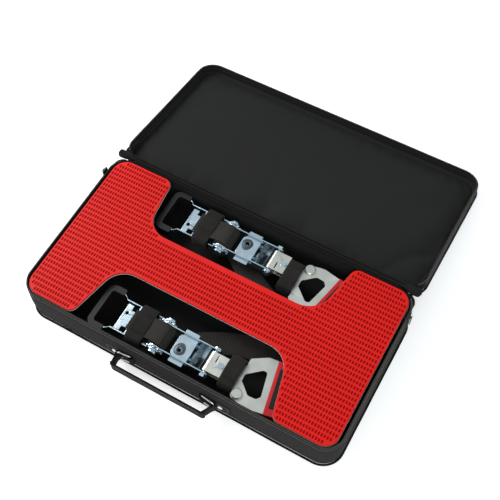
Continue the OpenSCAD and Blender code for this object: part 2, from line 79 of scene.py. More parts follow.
CAMERA_M = (0.3623, -0.4881, 1.3004)
CAMERA_AHEAD = (-0.253, 0.413, -0.875)
CAMERA_UP = (-0.421, 0.767, 0.484)
LENS = 63.2
SENSOR = 36.0
SKY_STRENGTH = 0.72
SKY_STOPS = ((0.35, (1.25, 1.27, 1.28, 1)), (0.62, (0.42, 0.5, 0.55, 1)),
             (0.86, (0.80, 0.88, 0.92, 1)))
FLOOR_HALF_M = 40.0
FLOOR_Z_M = -0.0003
FLOOR_GLOW = 0.5


def make_camera():
    """Camera at the place found for the photograph."""
    data = bpy.data.cameras.new("camera")
    data.lens = LENS
    data.sensor_width = SENSOR
    camera = bpy.data.objects.new("camera", data)
    bpy.context.scene.collection.objects.link(camera)
    ahead = Vector(CAMERA_AHEAD).normalized()
    right = ahead.cross(Vector(CAMERA_UP)).normalized()
    up = right.cross(ahead)
    axes = Matrix((right, up, -ahead)).transposed().to_4x4()
    camera.matrix_world = Matrix.Translation(Vector(CAMERA_M)) @ axes
    bpy.context.scene.camera = camera


def make_light(name, place_m, size_m, watts):
    """Soft square light aimed at the middle of the case."""
    data = bpy.data.lights.new(name, "AREA")
    data.energy = watts
    data.size = size_m
    light = bpy.data.objects.new(name, data)
    bpy.context.scene.collection.objects.link(light)
    light.location = place_m
    aim = Vector((0, 0.1, 0)) - Vector(place_m)
    light.rotation_euler = aim.to_track_quat("-Z", "Y").to_euler()


def make_studio():
    """Sky that darkens at mid height, two soft lights and a pale paper floor."""
    world = bpy.data.worlds.new("studio")
    world.use_nodes = True
    tree = world.node_tree
    back = tree.nodes["Background"]
    back.inputs["Strength"].default_value = SKY_STRENGTH
    place = tree.nodes.new("ShaderNodeTexCoord").outputs["Generated"]
    axes = tree.nodes.new("ShaderNodeSeparateXYZ")
    tree.links.new(place, axes.inputs["Vector"])
    ramp = tree.nodes.new("ShaderNodeValToRGB")
    tree.links.new(axes.outputs["Z"], ramp.inputs["Fac"])
    tree.links.new(ramp.outputs["Color"], back.inputs["Color"])
    stops = ramp.color_ramp.elements
    stops[0].position, stops[0].color = 0.0, (1.0, 1.0, 1.0, 1)
    stops[1].position, stops[1].color = 1.0, (0.62, 0.68, 0.72, 1)
    for position, color in SKY_STOPS:
        stops.new(position).color = color
    bpy.context.scene.world = world
    bpy.context.scene.view_settings.view_transform = "Standard"
    make_light("key", (-1.5, 0.3, 1.6), 1.0, 30)
    make_light("fill", (0.6, -1.5, 1.3), 1.2, 11)
    mesh = bpy.data.meshes.new("floor")
    corners = [(x * FLOOR_HALF_M, y * FLOOR_HALF_M, FLOOR_Z_M)
               for x, y in ((-1, -1), (1, -1), (1, 1), (-1, 1))]
    mesh.from_pydata(corners, [], [(0, 1, 2, 3)])
    floor = bpy.data.objects.new("floor", mesh)
    bpy.context.scene.collection.objects.link(floor)
    paint = Surface("floor_paper", (0.9, 0.9, 0.9), roughness=0.9)
    paint.shader.inputs["Emission Color"].default_value = (1, 1, 1, 1)
    paint.shader.inputs["Emission Strength"].default_value = FLOOR_GLOW
    paint.mottle(0.01, 2.0)
    floor.data.materials.append(paint.material)


# ---------- materials ----------


class Surface:
    """One procedural material. Each call adds a kind of detail to its colour, gloss or relief."""

    def __init__(self, name, color, roughness, metallic=0.0, specular=0.5):
        self.material = bpy.data.materials.new(name)
        self.material.use_nodes = True
        self.tree = self.material.node_tree
        self.shader = self.tree.nodes["Principled BSDF"]
        self.shader.inputs["Base Color"].default_value = (*color, 1)
        self.shader.inputs["Roughness"].default_value = roughness
        self.shader.inputs["Metallic"].default_value = metallic
        self.shader.inputs["Specular IOR Level"].default_value = specular
        self.roughness = roughness
        self.tint = self.add("ShaderNodeRGB").outputs[0]
        self.tint.default_value = (*color, 1)
        self.place = self.add("ShaderNodeTexCoord").outputs["Object"]
        self.relief = None

    def add(self, kind, **inputs):
        node = self.tree.nodes.new(kind)
        for key, value in inputs.items():
            self.feed(node, key.replace("_", " "), value)
        return node

    def feed(self, node, key, value):
        target = node.inputs[int(key)] if key.strip().isdigit() else node.inputs[key]
        if isinstance(value, bpy.types.NodeSocket):
            self.tree.links.new(value, target)
        else:
            target.default_value = value

    def math(self, operation, first, second=0.0):
        node = self.add("ShaderNodeMath")
        node.operation = operation
        self.feed(node, "0", first)
        self.feed(node, "1", second)
        return node.outputs[0]

    def noise(self, scale, detail=3.0, place=None):
        node = self.add("ShaderNodeTexNoise", Vector=place or self.place, Scale=scale,
                        Detail=detail)
        return node.outputs["Fac"]

    def ramp(self, value, low, high):
        """value, from 0 to 1, spread over low to high."""
        node = self.add("ShaderNodeMapRange", Value=value, To_Min=low, To_Max=high)
        return node.outputs["Result"]

    def shade(self, factor):
        """Multiplies the colour by factor."""
        node = self.add("ShaderNodeVectorMath")
        node.operation = "SCALE"
        self.feed(node, "0", self.tint)
        self.feed(node, "Scale", factor)
        self.tint = node.outputs[0]
        self.feed(self.shader, "Base Color", self.tint)

    def mottle(self, amount, scale):
        """Uneven colour and gloss over patches of 1 / scale metres."""
        patches = self.noise(scale, 4.0)
        self.shade(self.ramp(patches, 1 - 2 * amount, 1 + 2 * amount))
        low, high = self.roughness - amount * 0.5, self.roughness + amount * 0.5
        self.feed(self.shader, "Roughness", self.ramp(patches, max(low, 0.05), min(high, 1)))

    def raise_by(self, height, strength, distance):
        """Adds a bump of the given height pattern on top of those already there."""
        bump = self.add("ShaderNodeBump", Height=height, Strength=strength, Distance=distance)
        if self.relief is not None:
            self.feed(bump, "Normal", self.relief)
        self.relief = bump.outputs["Normal"]
        self.feed(self.shader, "Normal", self.relief)

    def weave(self, pitch, contrast, strength=0.6):
        """Plain weave of the given pitch on any wall that faces an axis."""
        axes = self.add("ShaderNodeSeparateXYZ", Vector=self.place)
        turn = 2 * math.pi / (pitch * MM)
        warp = self.math("ADD", axes.outputs["X"], axes.outputs["Z"])
        weft = self.math("SUBTRACT", axes.outputs["Y"], axes.outputs["Z"])
        first, second = (self.math("MULTIPLY", way, turn) for way in (warp, weft))
        crossing = self.math("MULTIPLY", self.math("SINE", first), self.math("SINE", second))
        height = self.math("MULTIPLY_ADD", crossing, 0.5)
        self.feed(height.node, "2", 0.5)
        self.shade(self.ramp(height, 1 - contrast, 1 + contrast))
        self.raise_by(height, strength, 0.25 * pitch * MM)

    def webbing(self, rib, contrast, strength=0.9):
        """Ribs across webbing, laid out by the piece's own UV map, whose unit is a metre."""
        place = self.add("ShaderNodeUVMap").outputs["UV"]
        axes = self.add("ShaderNodeSeparateXYZ", Vector=place)
        along = self.math("MULTIPLY", axes.outputs["X"], 2 * math.pi / (rib * MM))
        lines = self.math("MULTIPLY_ADD", self.math("SINE", along), 0.5)
        self.feed(lines.node, "2", 0.5)
        across = self.math("MULTIPLY", axes.outputs["Y"], 2 * math.pi / (0.55 * rib * MM))
        bumps = self.math("MULTIPLY_ADD", self.math("SINE", across), 0.18)
        self.feed(bumps.node, "2", 0.82)
        height = self.math("MULTIPLY", lines, bumps)
        self.shade(self.ramp(height, 1 - contrast, 1 + contrast))
        self.raise_by(height, strength, 0.3 * rib * MM)

    def grain(self, scale, strength, depth):
        """Fine random relief, as on a moulded or cast face."""
        self.raise_by(self.noise(scale, 5.0), strength, depth * MM)

    def brushed(self, scale, strength):
        """Fine streaks along X."""
        stretch = self.add("ShaderNodeVectorMath")
        stretch.operation = "MULTIPLY"
        self.feed(stretch, "0", self.place)
        self.feed(stretch, "1", (0.06, 1.0, 1.0))
        streaks = self.noise(scale, 4.0, stretch.outputs[0])
        self.raise_by(streaks, strength, 0.0001)

    def painted_edge_highlight(self, brighter):
        """Lightens convex edges in the colour: a painted edge highlight."""
        pointed = self.add("ShaderNodeNewGeometry").outputs["Pointiness"]
        edge = self.add("ShaderNodeMapRange", Value=pointed, From_Min=0.5, From_Max=0.58,
                        To_Min=1.0, To_Max=brighter).outputs["Result"]
        self.shade(edge)


# Material: colour, roughness, metallic, specular level, sheen, then its details in order
SURFACE_TABLE = {
    "case_fabric": ((0.0125, 0.0118, 0.0108), 0.85, 0.0, 0.09, 0.02,
        [("mottle", 0.12, 9.0), ("weave", 1.3, 0.5)]),
    "lining": ((0.0125, 0.0122, 0.0117), 0.7, 0.0, 0.13, 0.03,
        [("mottle", 0.10, 6.0), ("weave", 0.8, 0.2, 0.3)]),
    "zip_tape": ((0.012, 0.0115, 0.011), 0.8, 0.0, 0.1, 0, [("weave", 1.4, 0.5)]),
    # zip_coil is lighter than the tape: a painted highlight along the zip
    "zip_coil": ((0.075, 0.073, 0.068), 0.35, 0.0, 0.5, 0, [("mottle", 0.1, 60.0)]),
    "thread": ((0.12, 0.115, 0.105), 0.5, 0.0, 0.5, 0, [("grain", 3000.0, 0.5, 0.1)]),
    "handle_webbing": ((0.014, 0.0128, 0.0108), 0.85, 0.0, 0.12, 0.02,
        [("mottle", 0.1, 40.0), ("webbing", 2.0, 0.75)]),
    "webbing": ((0.027, 0.0232, 0.0195), 0.65, 0.0, 0.25, 0.04,
        [("mottle", 0.12, 30.0), ("webbing", 2.1, 0.85)]),
    "hook_band": ((0.017, 0.0152, 0.0138), 0.9, 0.0, 0.12, 0.08,
        [("mottle", 0.25, 50.0), ("grain", 1400.0, 1.0, 0.6)]),
    "mat_red": ((0.66, 0.010, 0.007), 0.5, 0.0, 0.17, 0,
        [("mottle", 0.06, 12.0), ("grain", 900.0, 0.35, 0.15)]),
    # Darker red for the mat's openings: painted shade inside the holes, on the same red net
    "mat_deep_red": ((0.34, 0.002, 0.002), 0.6, 0.0, 0.1, 0, [("grain", 900.0, 0.3, 0.15)]),
    "mat_backing": ((0.74, 0.69, 0.63), 0.7, 0.0, 0.3, 0, [("grain", 700.0, 0.4, 0.2)]),
    "zinc_steel": ((0.50, 0.60, 0.67), 0.22, 1.0, 0.5, 0,
        [("mottle", 0.12, 60.0), ("brushed", 420.0, 0.07), ("painted_edge_highlight", 1.5)]),
    "shaded_zinc": ((0.085, 0.105, 0.12), 0.32, 1.0, 0.5, 0,
        [("mottle", 0.12, 70.0), ("brushed", 420.0, 0.07), ("painted_edge_highlight", 1.8)]),
    "spring_steel": ((0.16, 0.33, 0.40), 0.28, 1.0, 0.5, 0,
        [("mottle", 0.1, 90.0), ("painted_edge_highlight", 1.6)]),
    "nickel_steel": ((0.62, 0.61, 0.56), 0.32, 1.0, 0.5, 0,
        [("mottle", 0.10, 45.0), ("grain", 1500.0, 0.2, 0.06), ("painted_edge_highlight", 1.35)]),
    "ring_steel": ((0.74, 0.71, 0.66), 0.16, 1.0, 0.5, 0,
        [("mottle", 0.05, 80.0), ("brushed", 500.0, 0.06)]),
    "slider_metal": ((0.05, 0.05, 0.05), 0.35, 1.0, 0.5, 0,
        [("mottle", 0.1, 100.0), ("painted_edge_highlight", 1.6)]),
    "claw_red": ((0.52, 0.010, 0.015), 0.34, 0.0, 0.4, 0,
        [("mottle", 0.06, 25.0), ("grain", 1100.0, 0.25, 0.1), ("painted_edge_highlight", 1.3)]),
    "claw_rubber": ((0.018, 0.018, 0.018), 0.75, 0.0, 0.2, 0,
        [("mottle", 0.12, 60.0), ("grain", 1600.0, 0.4, 0.15)]),
    "grip_plastic": ((0.008, 0.0078, 0.007), 0.4, 0.0, 0.25, 0,
        [("mottle", 0.06, 50.0), ("grain", 2200.0, 0.3, 0.08)]),
}


def make_surfaces():
    """All materials, by the record's slot names, with some extra ones for single pieces."""
    made = {}
    for name, (color, roughness, metallic, specular, sheen, details) in SURFACE_TABLE.items():
        surface = Surface(name, color, roughness, metallic, specular)
        surface.shader.inputs["Sheen Weight"].default_value = sheen
        for kind, *values in details:
            getattr(surface, kind)(*values)
        made[name] = surface.material
    return made


# ---------- mesh helpers ----------


def piece(name, points, faces, surface, body, slot=None, stands_for=(), matrix=None, uvs=None,
          crease=40.0):
    """Makes a mesh object from points in millimetres, and puts it on its CAD body.

    surface is one material name, or a list with one name per face, and uvs has one pair for
    each face corner."""
    names = [surface] if isinstance(surface, str) else sorted(set(surface))
    points = np.asarray(points, float)
    flip = False
    if matrix is not None:
        m = np.array(matrix, float)
        points = points @ m[:3, :3].T + m[:3, 3]
        flip = np.linalg.det(m[:3, :3]) < 0
    mesh = bpy.data.meshes.new(name)
    order = [f[::-1] for f in faces] if flip else faces
    mesh.from_pydata(points * MM, [], order)
    for material in names:
        mesh.materials.append(SURFACES[material])
    if len(names) > 1:
        index = {n: i for i, n in enumerate(names)}
        mesh.polygons.foreach_set("material_index", [index[n] for n in surface])
    if uvs is not None:
        layer = mesh.uv_layers.new(name="UVMap")
        flat = [c for face in uvs for c in (face[::-1] if flip else face)]
        layer.data.foreach_set("uv", np.array(flat, float).ravel())
    mesh.validate()
    mesh.polygons.foreach_set("use_smooth", [True] * len(mesh.polygons))
    mesh.set_sharp_from_angle(angle=math.radians(crease))
    mesh.update()
    obj = bpy.data.objects.new(name, mesh)
    bpy.context.scene.collection.objects.link(obj)
    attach(obj, body)
    if stands_for:
        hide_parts(*stands_for)
    return obj


def grid_faces(rows, cols, closed=True, start=0):
    """Quads over rows of points. With closed, the last column joins the first."""
    faces = []
    for r in range(rows - 1):
        for c in range(cols if closed else cols - 1):
            a, b = start + r * cols + c, start + r * cols + (c + 1) % cols
            faces.append([a, b, b + cols, a + cols])
    return faces


def cap_faces(rows, cols):
    """The two end faces of a closed grid of rows."""
    last = (rows - 1) * cols
    return [list(range(cols))[::-1], [last + k for k in range(cols)]]


def curve(points, steps):
    """Smooth curve through points, with that many steps between each pair."""
    p = np.asarray(points, float)
    p = np.vstack([2 * p[0] - p[1], p, 2 * p[-1] - p[-2]])
    out = []
    for i in range(1, len(p) - 2):
        for k in range(steps):
            t = k / steps
            out.append(0.5 * (2 * p[i] + (p[i + 1] - p[i - 1]) * t
                              + (2 * p[i - 1] - 5 * p[i] + 4 * p[i + 1] - p[i + 2]) * t ** 2
                              + (3 * p[i] - p[i - 1] - 3 * p[i + 1] + p[i + 2]) * t ** 3))
    return np.array([*out, p[-2]])


def tangents(path, closed=False):
    """Unit vectors along a path."""
    if closed:
        step = np.roll(path, -1, 0) - np.roll(path, 1, 0)
    else:
        step = np.gradient(path, axis=0)
    return step / np.linalg.norm(step, axis=1)[:, None]


def arc_length(path):
    """Distance along a path to each of its points."""
    return np.r_[0, np.cumsum(np.linalg.norm(np.diff(path, axis=0), axis=1))]


def points_at(at, length, path):
    """Points of a path, or vectors along it, at the given distances."""
    return np.stack([np.interp(at, length, column) for column in np.transpose(path)], 1)


def full_turn(sides):
    """Angles of that many points round a circle."""
    return np.arange(sides) * 2 * math.pi / sides


def tube(path, radius, sides=8, closed=False, up=(0, 0, 1)):
    """Points and faces of a round tube along path. radius is one number or one per point."""
    path = np.asarray(path, float)
    along = tangents(path, closed)
    side = np.cross(along, up)
    side /= np.linalg.norm(side, axis=1)[:, None]
    other = np.cross(side, along)
    radii = np.broadcast_to(radius, len(path))
    turn = full_turn(sides)
    points = (path[:, None] + radii[:, None, None]
              * (np.cos(turn)[None, :, None] * side[:, None]
                 + np.sin(turn)[None, :, None] * other[:, None])).reshape(-1, 3)
    faces = grid_faces(len(path), sides)
    if closed:
        last = (len(path) - 1) * sides
        faces += [[last + k, last + (k + 1) % sides, (k + 1) % sides, k] for k in range(sides)]
    else:
        faces += cap_faces(len(path), sides)
    return points, faces


def ribbon(path, across, width, thick):
    """Points, faces and UVs of flat webbing along path, with soft edges."""
    path = np.asarray(path, float)
    along = tangents(path)
    across = np.broadcast_to(np.asarray(across, float), path.shape)
    across = across - (across * along).sum(1)[:, None] * along
    across /= np.linalg.norm(across, axis=1)[:, None]
    up = np.cross(along, across)
    half = np.broadcast_to(width, len(path)) / 2
    soft = top = 0.5 * thick
    out = [-1, -1, -0.6, -0.2, 0.2, 0.6, 1, 1, 1, 1, 0.6, 0.2, -0.2, -0.6, -1, -1]
    inset = [0, soft, 0, 0, 0, 0, -soft, 0, 0, -soft, 0, 0, 0, 0, soft, 0]
    lift = [-0.4, -1, -1, -1, -1, -1, -1, -0.4, 0.4, 1, 1, 1, 1, 1, 1, 0.4]
    rows = (path[:, None] + (half[:, None] * out + inset)[..., None] * across[:, None]
            + (np.array(lift) * top)[None, :, None] * up[:, None])
    cols = len(out)
    faces = grid_faces(len(path), cols)
    length = arc_length(path)
    spot = half[:, None] * out
    faces += cap_faces(len(path), cols)
    uvs = [[(length[v // cols] * MM, spot[v // cols, v % cols] * MM) for v in f] for f in faces]
    return rows.reshape(-1, 3), faces, uvs


def joined(parts):
    """Several (points, faces) or (points, faces, uvs) as one."""
    points, faces, uvs, base = [], [], [], 0
    for part in parts:
        points.append(part[0])
        faces += [[v + base for v in f] for f in part[1]]
        uvs += part[2] if len(part) > 2 else []
        base += len(part[0])
    return np.vstack(points), faces, (uvs or None)


def strip(name, part, surface, body, stands_for=(), matrix=None, crease=40.0):
    """One piece of webbing from ribbon(), or from several joined, given its surface."""
    points, faces, uvs = part
    piece(name, points, faces, surface, body, surface, stands_for, matrix, uvs, crease)


def stitches(path, pitch, out, radius, closed=False):
    """Sewn thread along path: short raised stitches that stand out along the vectors out."""
    path, out = np.asarray(path, float), np.asarray(out, float)
    if closed:
        path, out = np.vstack([path, path[:1]]), np.vstack([out, out[:1]])
    length = arc_length(path)
    count = max(1, int(length[-1] / pitch))
    parts = []
    for i in range(count):
        at = (i + np.array([0.08, 0.25, 0.55, 0.8])) * length[-1] / count
        spine, away = points_at(at, length, path), points_at(at, length, out)
        lift = np.array([-0.6, 0.3, 0.3, -0.6])[:, None] * radius
        parts.append(tube(spine + away * lift, radius, 5, up=away[0]))
    return joined(parts)[:2]


def wobble(place, scale, seed):
    """Smooth noise from -1 to 1 for a point in millimetres."""
    return noise.noise(Vector(place) / scale + Vector((seed * 7.3, seed * 3.1, seed * 5.7)))


CLOTH = {"vertex_group_mass": "held", "quality": 6, "mass": 0.15, "tension_stiffness": 12,
         "compression_stiffness": 12, "shear_stiffness": 4, "bending_stiffness": 0.6}
CLOTH_FRAMES = 22


def relax(obj, pinned, cap, growth, lift):
    """Lets cloth settle with its pinned points held, and no point moved further than cap."""
    rest = np.zeros(len(obj.data.vertices) * 3)
    obj.data.vertices.foreach_get("co", rest)
    rest = rest.reshape(-1, 3)
    group = obj.vertex_groups.new(name="held")
    group.add([int(i) for i in pinned], 1.0, "REPLACE")
    cloth = obj.modifiers.new("cloth", "CLOTH")
    for key, value in CLOTH.items():
        setattr(cloth.settings, key, value)
    cloth.settings.shrink_min = -growth
    cloth.settings.use_pressure = lift > 0
    cloth.settings.uniform_pressure_force = lift
    cloth.settings.effector_weights.gravity = 0.0 if lift > 0 else 1.0
    cloth.point_cache.frame_start = 1
    cloth.point_cache.frame_end = CLOTH_FRAMES
    scene = bpy.context.scene
    for step in range(1, CLOTH_FRAMES + 1):
        scene.frame_set(step)
    settled = obj.evaluated_get(bpy.context.evaluated_depsgraph_get()).data
    moved = np.zeros(len(rest) * 3)
    settled.vertices.foreach_get("co", moved)
    shift = moved.reshape(-1, 3) - rest
    far = np.linalg.norm(shift, axis=1)
    limit = cap * MM
    keep = limit * np.tanh(far / limit) / np.maximum(far, 1e-9)
    obj.modifiers.remove(cloth)
    obj.data.vertices.foreach_set("co", (rest + shift * keep[:, None]).ravel())
    obj.data.update()
    scene.frame_set(1)


def thicken(obj, thickness, smooth=True):
    """Gives a skin its thickness inward, and by default smooths it once."""
    thick = obj.modifiers.new("thickness", "SOLIDIFY")
    thick.thickness = thickness * MM
    thick.offset = -1
    if smooth:
        sub = obj.modifiers.new("smooth", "SUBSURF")
        sub.levels = sub.render_levels = 1


# ---------- case ----------

SKIN_T = 1.6
PAD_T = 1.2
SPINE_T = 0.9
PAD_INSET = 5.0
PAD_STEP = 4.6
COIL_PITCH = 1.8
COIL_HALF_W = 1.25
COIL_HALF_H = 1.05
COIL_WIRE_R = 0.42
PIPING_R = 1.85
WELT_R = 1.55


def rim_stations(step=5.0):
    """Stations round the case: points on the corners' centre line, and outward directions."""
    a, b = CASE_L / 2 - CASE_R, CASE_D / 2 - CASE_R
    spots, outs = [], []
    corners = [(-a, -b), (a, -b), (a, b), (-a, b)]
    for k, first in enumerate(corners):
        second = corners[(k + 1) % 4]
        angle = math.radians(90 * k - 90)
        run = math.dist(first, second)
        count = max(2, round(run / step))
        for i in range(count):
            spots.append(np.add(first, np.subtract(second, first) * (i / count)))
            outs.append((math.cos(angle), math.sin(angle)))
        bend = max(8, round(CASE_R * math.pi / 2 / step * 1.6))
        for i in range(bend):
            turn = angle + math.pi / 2 * i / bend
            spots.append(np.array(second, float))
            outs.append((math.cos(turn), math.sin(turn)))
    return np.array(spots), np.array(outs)


def ring(stations, inset, z, waves=0.0, seed=0):
    """Points round the case at one inset and height, with fabric waves of that many mm."""
    spots, outs = stations
    points = np.column_stack([spots + outs * (CASE_R - inset), np.full(len(spots), float(z))])
    if waves:
        for p, out in zip(points, outs):
            big = wobble(p, 95, seed) + 0.5 * wobble(p, 34, seed + 1)
            p[:2] += out * waves * big
            p[2] += 0.35 * waves * wobble(p, 60, seed + 2)
    return points


def inner_rows(edge, steps, z_of):
    """Rows from an edge ring in to the case's middle line, for a floor panel."""
    reach = CASE_L / 2 - CASE_D / 2
    middle = np.column_stack([np.clip(edge[:, 0], -reach, reach), np.zeros(len(edge))])
    rows = []
    for t in steps:
        flat = edge[:, :2] * (1 - t) + middle * t
        rows.append(np.column_stack([flat, [z_of(x, y) for x, y in flat]]))
    return rows


def case_skin(name, floor_z, body, matrix, stands_for, seed):
    """Padded outer fabric: a wall that swells between its seams, and the panel below it."""
    stations = rim_stations()
    height = WALL_TOP - floor_z
    rows = [ring(stations, 1.4, WALL_TOP + 0.4), ring(stations, 0.3, WALL_TOP - 0.6),
            ring(stations, 0.2, WALL_TOP - 2.2), ring(stations, 1.1, WALL_TOP - 3.4),
            ring(stations, 0.2, WALL_TOP - 4.4)]
    wall = 14 if height > 40 else 6
    low = floor_z + 5
    for k in range(wall + 1):
        t = k / wall
        z = WALL_TOP - 6 - (WALL_TOP - 6 - low) * t
        swell = 1.5 * math.sin(math.pi * (0.1 + 0.85 * t)) ** 0.7
        rows.append(ring(stations, -swell, z, waves=0.9 * math.sin(math.pi * t) + 0.25, seed=seed))
    rows += [ring(stations, 0.2, floor_z + 3.2), ring(stations, 1.2, floor_z + 1.4),
             ring(stations, 3.0, floor_z + 0.4), ring(stations, 6.0, floor_z + 0.1)]
    rows += inner_rows(rows[-1], (0.1, 0.3, 0.6, 1.0), lambda x, y: floor_z + 0.1)
    points = np.vstack(rows)
    faces = [f[::-1] for f in grid_faces(len(rows), len(rows[0]))]
    obj = piece(name, points, faces, "case_fabric", body, "case_fabric", stands_for, matrix)
    if body == "case":
        cols = len(rows[0])
        free = range(5 * cols, (6 + wall) * cols)
        relax(obj, sorted(set(range(len(points))) - set(free)), cap=1.6, growth=0.012, lift=0.6)
    weld = obj.modifiers.new("middle_seam", "WELD")
    weld.merge_threshold = 0.05 * MM
    thicken(obj, SKIN_T)


def case_trim(prefix, body, matrix, floor_z):
    """Zip tape, zip coil, the seam's thread, piping and the lining's wall."""
    stations = rim_stations()
    spots, outs = stations
    walls = [(0.9, WALL_TOP - 0.8), (0.35, WALL_TOP + 0.6), (0.3, WALL_TOP + 3.4),
             (0.8, WALL_TOP + 5.4), (1.5, WALL_TOP + 5.8), (2.3, WALL_TOP + 5.4),
             (2.7, WALL_TOP + 3.2), (2.8, WALL_TOP - 1.5)]
    rows = [ring(stations, i, z, waves=0.25, seed=11) for i, z in walls]
    faces = grid_faces(len(rows), len(spots))
    piece(prefix + "_zip_tape", np.vstack(rows), faces, "zip_tape", body, "zip_tape",
          [prefix + "_zip"], matrix)

    # the coil runs round three sides, and stops at the hinge corners
    fine = rim_stations(2.0)
    path = ring(fine, 1.3, WALL_TOP + 5.15)
    keep = path[:, 1] < CASE_D / 2 - CASE_R * 0.3
    start = int(np.argmax(~keep & np.roll(keep, -1))) + 1
    path = np.roll(path, -start, 0)[: keep.sum()]
    along = tangents(path)
    side = np.cross(along, (0, 0, 1))
    length = arc_length(path)
    turns = int(length[-1] / COIL_PITCH)
    at = np.linspace(0, length[-1], turns * 7)
    angle = np.linspace(0, turns * 2 * math.pi, turns * 7)
    spine, across = points_at(at, length, path), points_at(at, length, side)
    spine += across * (COIL_HALF_W * np.cos(angle))[:, None]
    spine[:, 2] += COIL_HALF_H * np.sin(angle)
    coil = tube(spine, COIL_WIRE_R, 4)
    piece(prefix + "_zip_coil", *coil, "zip_coil", body, "zip_tape", matrix=matrix, crease=80)

    seam = ring(stations, -0.35, WALL_TOP - 1.6)
    away = np.column_stack([outs, np.zeros(len(outs))])
    sewn = stitches(seam, 3.6, away, 0.5, closed=True)
    piece(prefix + "_seam_thread", *sewn, "thread", body, "case_fabric", matrix=matrix)

    line = ring(stations, -1.7, floor_z + 2.0, waves=0.35, seed=31)
    fat = PIPING_R + 0.12 * np.array([wobble(p, 22, 5) for p in line])
    cord = tube(line, fat, 12, closed=True)
    piece(prefix + "_piping_cord", *cord, "case_fabric", body, "case_fabric",
          [prefix + "_piping"], matrix, crease=80)

    depth = floor_z + 3.6
    steps = np.linspace(0, 1, 9)
    rows = [ring(stations, 2.9 + 1.0 * math.sin(math.pi * t) * 0.6,
                 WALL_TOP + 1 + (depth + 5 - WALL_TOP - 1) * t, waves=0.5, seed=41)
            for t in steps]
    rows += [ring(stations, 4.2, depth + 2.2), ring(stations, 6.2, depth + 0.4),
             ring(stations, 9.0, depth)]
    faces = grid_faces(len(rows), len(spots))
    piece(prefix + "_lining_wall", np.vstack(rows), faces, "lining", body, "lining",
          matrix=matrix)


def rounded_grid(half_x, half_y, radius, step):
    """Square grid of points, pulled in at the corners to a rounded rectangle."""
    xs = np.linspace(-half_x, half_x, round(2 * half_x / step) + 1)
    ys = np.linspace(-half_y, half_y, round(2 * half_y / step) + 1)
    x, y = np.meshgrid(xs, ys)
    p = np.clip((abs(x) - (half_x - radius)) / radius, 0, None)
    q = np.clip((abs(y) - (half_y - radius)) / radius, 0, None)
    in_x = p * np.sqrt(1 - q ** 2 / 2)
    in_y = q * np.sqrt(1 - p ** 2 / 2)
    x = np.where((p > 0) & (q > 0), np.sign(x) * (half_x - radius + radius * in_x), x)
    y = np.where((p > 0) & (q > 0), np.sign(y) * (half_y - radius + radius * in_y), y)
    return x, y


def floor_pad(name, top_z, body, matrix, stands_for, seed, crown, folds):
    """Foam-backed lining panel, crowned a little and settled by cloth simulation."""
    half_x, half_y = CASE_L / 2 - PAD_INSET, CASE_D / 2 - PAD_INSET
    x, y = rounded_grid(half_x, half_y, CASE_R - PAD_INSET, PAD_STEP)
    rows, cols = x.shape
    u, v = x / half_x, y / half_y
    dome = np.clip(1 - u ** 6, 0, 1) * np.clip(1 - v ** 6, 0, 1)
    z = top_z + crown * dome ** 0.6
    for i, j in np.ndindex(x.shape):
        spot = (x[i, j], y[i, j], 0)
        soft = wobble(spot, 120, seed) + 0.45 * wobble(spot, 45, seed + 1)
        z[i, j] += dome[i, j] ** 0.5 * (0.8 * soft + folds(*spot[:2]))
    points = np.column_stack([x.ravel(), y.ravel(), z.ravel()])
    faces = grid_faces(rows, cols, closed=False)
    obj = piece(name, points, faces, "lining", body, "lining", stands_for, matrix)
    edge = [i * cols + j for i in range(rows) for j in range(cols)
            if i in (0, rows - 1) or j in (0, cols - 1)]
    relax(obj, edge, cap=2.6, growth=0.006, lift=0.35)
    thicken(obj, PAD_T)


def lid_matrix():
    """From a piece of a closed case's lid, drawn upside down as a base, to the open lid."""
    to_hinge = Matrix.Translation(Vector(HINGE))
    turn = Matrix.Rotation(LID_TURN, 4, "X")
    upside = Matrix.Translation((0, 0, 2 * HINGE[2])) @ Matrix.Diagonal((1, 1, -1, 1))
    return to_hinge @ turn @ to_hinge.inverted() @ upside


def lid_folds(x, y):
    """Soft creases in the lid's lining near the hinge and at its right end."""
    near_hinge = math.exp(-(((y - 118) / 26) ** 2))
    right = math.exp(-(((x - 240) / 34) ** 2))
    ripple = math.sin(x / 19.0 + 2.2 * math.sin(x / 61.0))
    slant = math.sin((x + 0.8 * y) / 17.0)
    return 1.6 * near_hinge * ripple + 1.3 * right * slant


